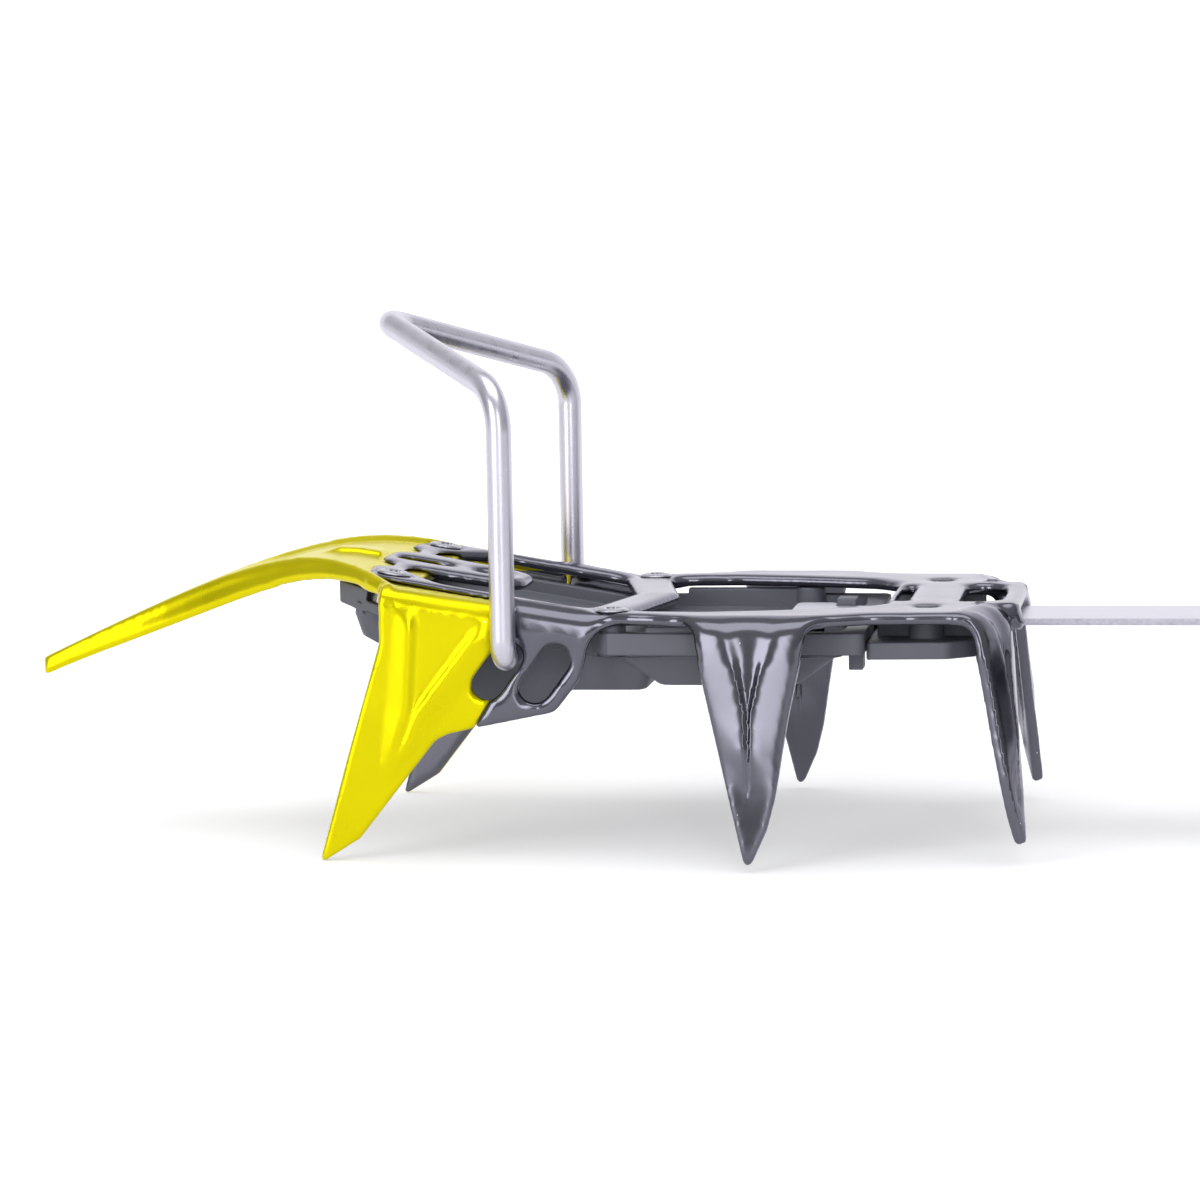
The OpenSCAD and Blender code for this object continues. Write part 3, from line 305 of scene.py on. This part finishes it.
def bent_wire(name, diameter, stops, sides=32, step=radians(5), fewest=6):
    """A round wire through stops, each a place and a bend radius in millimetres: a ring extruded along each
    straight run and spun round each bend"""
    points = [Vector(p) * MM for p, _ in stops]
    heading = (points[1] - points[0]).normalized()
    bpy.ops.mesh.primitive_circle_add(vertices=sides, radius=diameter / 2, fill_type="NOTHING",
                                      location=points[0], rotation=heading.to_track_quat("Z", "Y").to_euler())
    piece = bpy.context.object
    piece.name = piece.data.name = name
    bpy.ops.object.transform_apply(location=True, rotation=True, scale=True)
    bpy.ops.object.mode_set(mode="EDIT")
    bpy.ops.mesh.select_all(action="SELECT")
    here = points[0]
    for i in range(1, len(points) - 1):
        radius = stops[i][1] * MM
        onward = (points[i + 1] - points[i]).normalized()
        turn = acos(max(-1, min(1, heading.dot(onward))))
        cut = radius * tan(turn / 2)
        start = points[i] - heading * cut
        bpy.ops.mesh.extrude_edges_move(TRANSFORM_OT_translate={"value": start - here})
        axis = heading.cross(onward).normalized()
        centre = start + axis.cross(heading) * radius
        bpy.ops.mesh.spin(steps=max(fewest, round(turn / step)), angle=-turn, center=centre, axis=axis)
        here = points[i] + onward * cut
        heading = onward
    bpy.ops.mesh.extrude_edges_move(TRANSFORM_OT_translate={"value": points[-1] - here})
    bpy.ops.object.mode_set(mode="OBJECT")
    ring = [v.co for v in piece.data.vertices if v.select]
    if (sum(ring, Vector()) / len(ring) - points[-1]).length > WELD:
        raise RuntimeError(f"{name} doesn't end where its last run does")
    capped(piece)
    eased(piece, sizes().wire_edge, segments=2, angle=60)
    return piece


def mirrored_run(half, *middle):
    """Stops of one side of a wire, of its middle and of the other side"""
    return half + [*middle] + [((x, -y, z), r) for (x, y, z), r in reversed(half)]


# Materials

def opaque(colour, share=1):
    """A colour, or a darker share of it, as a shader socket takes it"""
    return (*(c * share for c in colour), 1)


def node(tree, kind, sockets=None, **settings):
    """Add a shader node with its settings; a socket's value is a constant or another node's output"""
    made = tree.nodes.new("ShaderNode" + kind)
    for key, value in settings.items():
        setattr(made, key, value)
    for key, value in (sockets or {}).items():
        if isinstance(value, bpy.types.NodeSocket):
            tree.links.new(value, made.inputs[key])
        else:
            made.inputs[key].default_value = value
    return made


def started(name):
    """A new material, its empty tree and its object coordinates"""
    material = bpy.data.materials.new(name)
    material.use_nodes = True
    tree = material.node_tree
    tree.nodes.clear()
    return material, tree, node(tree, "TexCoord").outputs["Object"]


def grain(tree, coords, mm, detail=2, stretch=(1, 1, 1)):
    """A noise pattern whose features are about so many millimetres across"""
    mapped = node(tree, "Mapping", {"Vector": coords, "Scale": [s / (mm * MM) for s in stretch]})
    return node(tree, "TexNoise", {"Vector": mapped.outputs[0], "Scale": 1, "Detail": detail}).outputs["Fac"]


def worn(tree, coords, colour, share, mm, detail=2, stretch=(1, 1, 1)):
    """A wear pattern, and a colour that it darkens down to a share of itself"""
    wear = grain(tree, coords, mm, detail, stretch)
    tone = node(tree, "Mix", {0: wear, 6: opaque(colour, share), 7: opaque(colour)}, data_type="RGBA")
    return wear, tone.outputs[2]


def dusted(tree, coords, colour):
    """A colour under sparse specks of dust a quarter of a millimetre wide, one in about five cells of 3 mm"""
    cells = node(tree, "TexVoronoi", {"Vector": coords, "Scale": 1 / (3 * MM)})
    near = node(tree, "Math", {0: cells.outputs["Distance"], 1: 0.045}, operation="LESS_THAN").outputs[0]
    pick = node(tree, "SeparateColor", {"Color": cells.outputs["Color"]}).outputs[0]
    some = node(tree, "Math", {0: pick, 1: 0.8}, operation="GREATER_THAN").outputs[0]
    speck = node(tree, "Math", {0: near, 1: some}, operation="MULTIPLY").outputs[0]
    return node(tree, "Mix", {0: speck, 6: colour, 7: opaque(colours().dust)}, data_type="RGBA").outputs[2]


def finished(tree, wear, smooth, rough, sockets):
    """Close a material: a surface that a wear pattern takes from smooth to rough"""
    roughness = node(tree, "MapRange", {"Value": wear, **NOISE_SPAN, "To Min": smooth, "To Max": rough})
    surface = node(tree, "BsdfPrincipled", {"Roughness": roughness.outputs[0], **sockets})
    node(tree, "OutputMaterial", {"Surface": surface.outputs[0]})


def plated_steel():
    """Pressed steel under dark bright-nickel plate: glossy, a little cloudy from polishing, with dust"""
    material, tree, coords = started("plated_steel")
    haze, plate = worn(tree, coords, colours().steel, share=0.9, mm=14)
    fine = grain(tree, coords, mm=0.7, detail=3)
    bump = node(tree, "Bump", {"Height": fine, "Strength": 0.015, "Distance": 0.05 * MM})
    finished(tree, haze, 0.15, 0.21, {
        "Base Color": dusted(tree, coords, plate), "Metallic": 1, "Specular Tint": opaque(colours().sheen),
        "Normal": bump.outputs[0]})
    return material


def claw_coat():
    """Clear yellow lacquer over polished steel: tinted gloss with deep shades, dust; bare inner sides"""
    material, tree, coords = started("claw_coat")
    cloud, coat = worn(tree, coords, colours().coat, share=0.9, mm=12)
    peel = grain(tree, coords, mm=1.6, detail=1)
    place = node(tree, "SeparateXYZ", {"Vector": coords}).outputs
    facing = node(tree, "SeparateXYZ", {"Vector": node(tree, "NewGeometry").outputs["Normal"]}).outputs["Y"]
    side = node(tree, "Math", {0: place["Y"]}, operation="SIGN").outputs[0]
    outward = node(tree, "Math", {0: side, 1: facing}, operation="MULTIPLY").outputs[0]
    inward = node(tree, "Math", {0: outward, 1: BARE_TURN}, operation="LESS_THAN").outputs[0]
    flange = node(tree, "Math", {0: place["Z"], 1: BARE_BELOW}, operation="LESS_THAN").outputs[0]
    inner = node(tree, "Math", {0: inward, 1: flange}, operation="MULTIPLY").outputs[0]
    colour = node(tree, "Mix", {0: inner, 6: dusted(tree, coords, coat), 7: opaque(colours().steel)},
                  data_type="RGBA")
    bump = node(tree, "Bump", {"Height": peel, "Strength": 0.05, "Distance": 0.08 * MM})
    finished(tree, cloud, 0.27, 0.34, {
        "Base Color": colour.outputs[2], "Metallic": 0.9, "Normal": bump.outputs[0]})
    return material


def drawn_wire():
    """Stainless wire as drawn: bright, with rub marks and lengthwise scratches, coarser than real to show"""
    material, tree, coords = started("drawn_wire")
    rub, colour = worn(tree, coords, colours().wire, share=0.82, mm=3, detail=4, stretch=(1, 1, 0.25))
    line = grain(tree, coords, mm=0.5, stretch=(1, 1, 0.05))
    bump = node(tree, "Bump", {"Height": line, "Strength": 0.1, "Distance": 0.03 * MM})
    finished(tree, rub, 0.24, 0.38, {"Base Color": colour, "Metallic": 1, "Normal": bump.outputs[0]})
    return material


def spring_strip():
    """Satin rolled spring strip: lengthwise roll lines, coarser than real to show, and a grainy sheared edge"""
    material, tree, coords = started("spring_strip")
    bar = colours().bar
    roll, face = worn(tree, coords, bar, share=0.88, mm=0.6, detail=3, stretch=(0.06, 1, 1))
    shear = grain(tree, coords, mm=0.9, detail=3)
    facing = node(tree, "SeparateXYZ", {"Vector": node(tree, "NewGeometry").outputs["Normal"]}).outputs["Z"]
    flat = node(tree, "Math", {0: facing}, operation="ABSOLUTE").outputs[0]
    edge = node(tree, "Math", {0: flat, 1: 0.7}, operation="LESS_THAN").outputs[0]
    cut = node(tree, "Mix", {0: shear, 6: opaque(bar, 0.45), 7: opaque(bar, 0.85)}, data_type="RGBA")
    colour = node(tree, "Mix", {0: edge, 6: face, 7: cut.outputs[2]}, data_type="RGBA")
    bump = node(tree, "Bump", {"Height": shear, "Strength": 0.25, "Distance": 0.06 * MM})
    finished(tree, roll, 0.3, 0.42, {
        "Base Color": colour.outputs[2], "Metallic": 1, "Normal": bump.outputs[0]})
    return material


def zinc_plate():
    """Bright zinc on bolts, nuts and pins: satin, faintly clouded"""
    material, tree, coords = started("zinc_plate")
    cloud, colour = worn(tree, coords, colours().bolt, share=0.8, mm=1.5, detail=3)
    finished(tree, cloud, 0.22, 0.38, {"Base Color": colour, "Metallic": 1})
    return material


def turned_brass():
    """Turned brass inserts: warm, with tool marks, coarser than real to show"""
    material, tree, coords = started("turned_brass")
    mark, colour = worn(tree, coords, colours().brass, share=0.8, mm=0.3, stretch=(0.2, 0.2, 1))
    finished(tree, mark, 0.28, 0.4, {"Base Color": colour, "Metallic": 1})
    return material


def moulded(name, colour, smooth, rough, pit):
    """Moulded polyamide: satin skin with spark-eroded grain, drawn coarser than real so that it shows"""
    material, tree, coords = started(name)
    cloud, base = worn(tree, coords, colour, share=0.86, mm=11)
    skin = grain(tree, coords, mm=pit)
    bump = node(tree, "Bump", {"Height": skin, "Strength": 0.22, "Distance": 0.05 * MM})
    finished(tree, cloud, smooth, rough, {"Base Color": base, "IOR": 1.53, "Normal": bump.outputs[0]})
    return material


# Pieces

class Step:
    """What the operators share"""
    bl_options = {"REGISTER", "UNDO"}


class CRAMPON_OT_frames(Step, bpy.types.Operator):
    """Round and plate the pressed frames and the guide"""
    bl_idname = "crampon.frames"
    bl_label = "Pressed frames"

    def execute(self, context):
        steel = plated_steel()
        crown = sizes().press_crown
        for solid in ("main_frame", "heel_frame", "heel_guide"):
            piece = worked_copy(solid, solid + "_sheet")
            pressed(piece, sizes().press_cell, rounds=3)
            drawn(piece, lambda place: place.z > POINTS_TOP or place.x < POINTS_FRONT, rounds=8)
            drawn(piece, lambda place: abs(above_sole(place)) < crown and place.x < TAIL_X, rounds=40)
            drawn(piece, in_bend, rounds=44)
            rippleless(piece, rounds=30)
            if solid != "heel_guide":
                crisp_points(piece, solid, sizes().point_edge)
            placed(piece, "frame", "frame_steel", steel, solid)
        return {"FINISHED"}


class CRAMPON_OT_claw(Step, bpy.types.Operator):
    """Round and coat the front claw"""
    bl_idname = "crampon.claw"
    bl_label = "Front claw"

    def execute(self, context):
        piece = worked_copy("front_claw", "front_claw_pressing")
        pressed(piece, sizes().claw_cell, rounds=6)
        drawn(piece, in_bend, rounds=30)
        rippleless(piece, rounds=12)
        placed(piece, "frame", "claw_paint", claw_coat(), "front_claw")
        return {"FINISHED"}


class CRAMPON_OT_toe_bail(Step, bpy.types.Operator):
    """Bend the toe bail from round wire"""
    bl_idname = "crampon.toe_bail"
    bl_label = "Toe bail"

    def execute(self, context):
        wire = sizes().bail_wire / MM
        half_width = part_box("toe_bail")[1][1] / MM - wire / 2
        x, _, z = hinge("toe_bail")
        # The pin runs from the leg over a gap, through the flange's sheet, and stands proud behind it
        gap, sheet, proud = 1.6, 2.5, 3
        pin_end = half_width - wire / 2 - gap - sheet - proud
        shoulder, peak, lean = 44, 57, 32
        pin_bend, shoulder_bend, peak_bend = 4, 10, 9
        half = [((x, pin_end, z), 0), ((x, half_width, z), pin_bend),
                ((x, half_width, shoulder), shoulder_bend)]
        stops = mirrored_run(half, ((x - lean, 0, peak), peak_bend))
        piece = bent_wire("toe_bail_wire", sizes().bail_wire, stops)
        placed(piece, "toe_bail", "wire_steel", drawn_wire(), "toe_bail")
        return {"FINISHED"}


class CRAMPON_OT_bar(Step, bpy.types.Operator):
    """Finish the linking bar, the length latch and the jaw"""
    bl_idname = "crampon.bar"
    bl_label = "Linking bar, latch and jaw"

    def execute(self, context):
        strip = spring_strip()
        for solid, body in (("linking_bar", "frame"), ("length_latch", "latch"), ("heel_jaw", "jaw")):
            piece = worked_copy(solid, solid + "_strip")
            eased(piece, sizes().small_edge, segments=2)
            placed(piece, body, "bar_steel", strip, solid)
        return {"FINISHED"}


class CRAMPON_OT_fasteners(Step, bpy.types.Operator):
    """Finish bolts, nuts, inserts, rivets, pins, the screw and its wheel"""
    bl_idname = "crampon.fasteners"
    bl_label = "Fasteners and adjuster"

    def execute(self, context):
        zinc, brass = zinc_plate(), turned_brass()
        for solid, body, slot in (
                ("claw_bolts", "frame", "bolt_steel"), ("claw_nuts", "frame", "bolt_steel"),
                ("bridge_bolts", "frame", "bolt_steel"), ("guide_rivets", "frame", "bolt_steel"),
                ("latch_pin", "frame", "bolt_steel"), ("adjuster_screw", "adjuster", "bolt_steel"),
                ("adjuster_wheel", "adjuster", "bolt_steel"), ("plate_inserts", "frame", "insert_brass")):
            piece = worked_copy(solid, solid + "_finished")
            eased(piece, sizes().small_edge, segments=2)
            placed(piece, body, slot, brass if slot == "insert_brass" else zinc, solid)
        return {"FINISHED"}


class CRAMPON_OT_plates(Step, bpy.types.Operator):
    """Finish the moulded snow plates and their studs"""
    bl_idname = "crampon.plates"
    bl_label = "Snow plates"

    def execute(self, context):
        plastic = moulded("moulded_plate", colours().plate, smooth=0.5, rough=0.62, pit=0.5)
        for solid in ("front_snow_plate", "rear_snow_plate", "heel_snow_plate", "plate_studs", "heel_studs"):
            piece = worked_copy(solid, solid + "_moulding")
            eased(piece, sizes().plate_edge)
            placed(piece, "frame", "plate_plastic", plastic, solid)
        return {"FINISHED"}


class CRAMPON_OT_heel_wire(Step, bpy.types.Operator):
    """Bend the heel yoke from round wire, and wind the latch spring"""
    bl_idname = "crampon.heel_wire"
    bl_label = "Heel yoke and spring"

    def execute(self, context):
        ear, lever = hinge("heel_wire"), hinge("lever")
        # Half widths of the yoke at its pins' ends, at its corners and at its cross run
        pin_end, corner, arm = 31.5, 40.4, 22
        corner_bend, arm_bend = 3.4, 8
        half = [((ear[0], pin_end, ear[2]), 0), ((ear[0], corner, ear[2]), corner_bend),
                ((lever[0], arm, lever[2]), arm_bend)]
        piece = bent_wire("heel_yoke_wire", sizes().heel_wire, mirrored_run(half))
        placed(piece, "heel_wire", "wire_steel", bpy.data.materials["drawn_wire"], "heel_wire")

        low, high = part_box("latch_spring")
        wire = sizes().spring_wire
        ring, run = (high[0] - low[0] - wire) / 2, high[1] - low[1] - wire
        turns, steps, sides = 5, 24, 12
        bpy.ops.mesh.primitive_circle_add(vertices=sides, radius=wire / 2, fill_type="NOTHING",
                                          location=[p * MM for p in hinge("latch")])
        coil = context.object
        coil.name = coil.data.name = "latch_spring_coil"
        bpy.ops.object.mode_set(mode="EDIT")
        bpy.ops.mesh.select_all(action="SELECT")
        bpy.ops.transform.translate(value=(ring, -run / 2, 0))
        modified(coil, "SCREW", axis="Y", angle=2 * pi * turns, screw_offset=run, steps=steps * turns,
                 render_steps=steps * turns, use_merge_vertices=False)
        bpy.ops.object.transform_apply(location=True, rotation=True, scale=True)
        capped(coil)
        bpy.ops.object.shade_smooth_by_angle(angle=radians(40))
        placed(coil, "frame", "bar_steel", bpy.data.materials["spring_strip"], "latch_spring")
        return {"FINISHED"}


class CRAMPON_OT_lever(Step, bpy.types.Operator):
    """Finish the moulded heel lever"""
    bl_idname = "crampon.lever"
    bl_label = "Heel lever"

    def execute(self, context):
        plastic = moulded("moulded_lever", colours().lever, smooth=0.4, rough=0.52, pit=0.6)
        piece = worked_copy("heel_lever", "heel_lever_moulding")
        pressed(piece, sizes().lever_cell, rounds=5)
        rippleless(piece, rounds=6)
        placed(piece, "lever", "lever_plastic", plastic, "heel_lever")
        return {"FINISHED"}


# Studio

def studio_paper():
    """Matt pale paper, which glows a little to the eye and in mirrors, and keeps the part's shadow"""
    material, tree, coords = started("studio_paper")
    path = node(tree, "LightPath").outputs
    seen = path["Is Camera Ray"]
    for ray in ("Is Glossy Ray", "Is Transmission Ray"):
        seen = node(tree, "Math", {0: seen, 1: path[ray]}, operation="MAXIMUM").outputs[0]
    # The far floor and the backdrop get less of the lamps than the floor near the part, so they glow more to
    # look as white
    away = node(tree, "VectorMath", {0: coords, 1: GLOW_MIDDLE}, operation="DISTANCE").outputs["Value"]
    fill = node(tree, "MapRange", {"Value": away, **GLOW}).outputs[0]
    glow = node(tree, "Math", {0: seen, 1: fill}, operation="MULTIPLY").outputs[0]
    paper = node(tree, "BsdfDiffuse", {"Color": opaque(colours().floor)})
    light = node(tree, "Emission", {"Strength": glow})
    both = node(tree, "AddShader", {0: paper.outputs[0], 1: light.outputs[0]})
    node(tree, "OutputMaterial", {"Surface": both.outputs[0]})
    return material


def lay_floor():
    """A floor that rises behind the part into a backdrop"""
    bpy.ops.mesh.primitive_plane_add(size=FLOOR_WIDTH, location=(*FLOOR_MIDDLE, GROUND))
    floor = bpy.context.object
    floor.name = floor.data.name = "studio_floor"
    bpy.ops.object.transform_apply(location=True, rotation=True, scale=True)
    bpy.ops.object.mode_set(mode="EDIT")
    bpy.ops.mesh.select_all(action="DESELECT")
    bpy.ops.object.mode_set(mode="OBJECT")
    back = max(v.co.y for v in floor.data.vertices)
    for edge in floor.data.edges:
        edge.select = all(floor.data.vertices[i].co.y > back - WELD for i in edge.vertices)
    bpy.ops.object.mode_set(mode="EDIT")
    bpy.ops.mesh.extrude_edges_move(TRANSFORM_OT_translate={"value": (0, 0, BACKDROP_HEIGHT)})
    modified(floor, "BEVEL", width=BACKDROP_BEND, segments=16, limit_method="ANGLE", angle_limit=radians(30))
    bpy.ops.object.shade_smooth()
    floor.data.materials.append(studio_paper())


def fill_air():
    """Soft light from all round, a little more of it from above"""
    world = bpy.data.worlds.new("studio_air")
    bpy.context.scene.world = world
    world.use_nodes = True
    tree = world.node_tree
    tree.nodes.clear()
    up = node(tree, "SeparateXYZ", {"Vector": node(tree, "TexCoord").outputs["Generated"]}).outputs["Z"]
    rise = node(tree, "MapRange", {"Value": up, **AIR})
    air = node(tree, "Background", {"Strength": rise.outputs[0]})
    node(tree, "OutputWorld", {"Surface": air.outputs[0]})


def hang_lamps():
    """Two upright strips beside the camera and a softbox above, all turned to the part"""
    for name, bearing, away, height, wide, deep, power in LAMPS:
        spot = Vector((away * sin(radians(bearing)), -away * cos(radians(bearing)), height))
        bpy.ops.object.light_add(type="AREA", location=spot)
        lamp = bpy.context.object
        lamp.name = lamp.data.name = name
        lamp.data.shape = "RECTANGLE"
        lamp.data.size, lamp.data.size_y, lamp.data.energy = wide, deep, power
        lamp.rotation_euler = (-spot).to_track_quat("-Z", "Y").to_euler()


def stand_camera():
    """The camera at the place that the photo gives"""
    bpy.ops.object.camera_add()
    camera = bpy.context.object
    camera.name = camera.data.name = "photo_camera"
    camera.data.lens, camera.data.sensor_width = VIEW_LENS, 36
    camera.data.clip_start, camera.data.clip_end = 0.05, 20
    turned = Matrix((VIEW_RIGHT, VIEW_UP, -VIEW_AHEAD)).transposed().to_4x4()
    camera.matrix_world = Matrix.Translation(VIEW_FROM) @ turned
    bpy.context.scene.camera = camera


class CRAMPON_OT_stage(Step, bpy.types.Operator):
    """Lay the floor and its backdrop, hang the soft lights and stand the camera"""
    bl_idname = "crampon.stage"
    bl_label = "Studio"

    def execute(self, context):
        lay_floor()
        fill_air()
        hang_lamps()
        stand_camera()
        context.scene.view_settings.view_transform = "Standard"
        return {"FINISHED"}


STEPS = (CRAMPON_OT_frames, CRAMPON_OT_claw, CRAMPON_OT_toe_bail, CRAMPON_OT_bar, CRAMPON_OT_fasteners,
         CRAMPON_OT_plates, CRAMPON_OT_heel_wire, CRAMPON_OT_lever, CRAMPON_OT_stage)


class CRAMPON_PT_panel(bpy.types.Panel):
    """Sizes, colours and steps of the crampon"""
    bl_label = "Crampon"
    bl_idname = "CRAMPON_PT_panel"
    bl_space_type = "VIEW_3D"
    bl_region_type = "UI"
    bl_category = "Crampon"

    def draw(self, context):
        for group in (sizes(), colours()):
            column = self.layout.column()
            for key in group.__annotations__:
                column.prop(group, key)
        for step in STEPS:
            self.layout.operator(step.bl_idname)


CLASSES = (CRAMPON_PG_sizes, CRAMPON_PG_colours, *STEPS, CRAMPON_PT_panel)


def register():
    for item in CLASSES:
        bpy.utils.register_class(item)
    bpy.types.Scene.crampon_sizes = bpy.props.PointerProperty(type=CRAMPON_PG_sizes)
    bpy.types.Scene.crampon_colours = bpy.props.PointerProperty(type=CRAMPON_PG_colours)


def unregister():
    del bpy.types.Scene.crampon_colours
    del bpy.types.Scene.crampon_sizes
    for item in reversed(CLASSES):
        bpy.utils.unregister_class(item)


def main():
    register()
    for step in STEPS:
        group, call = step.bl_idname.split(".")
        getattr(getattr(bpy.ops, group), call)()


if __name__ == "__main__":
    main()
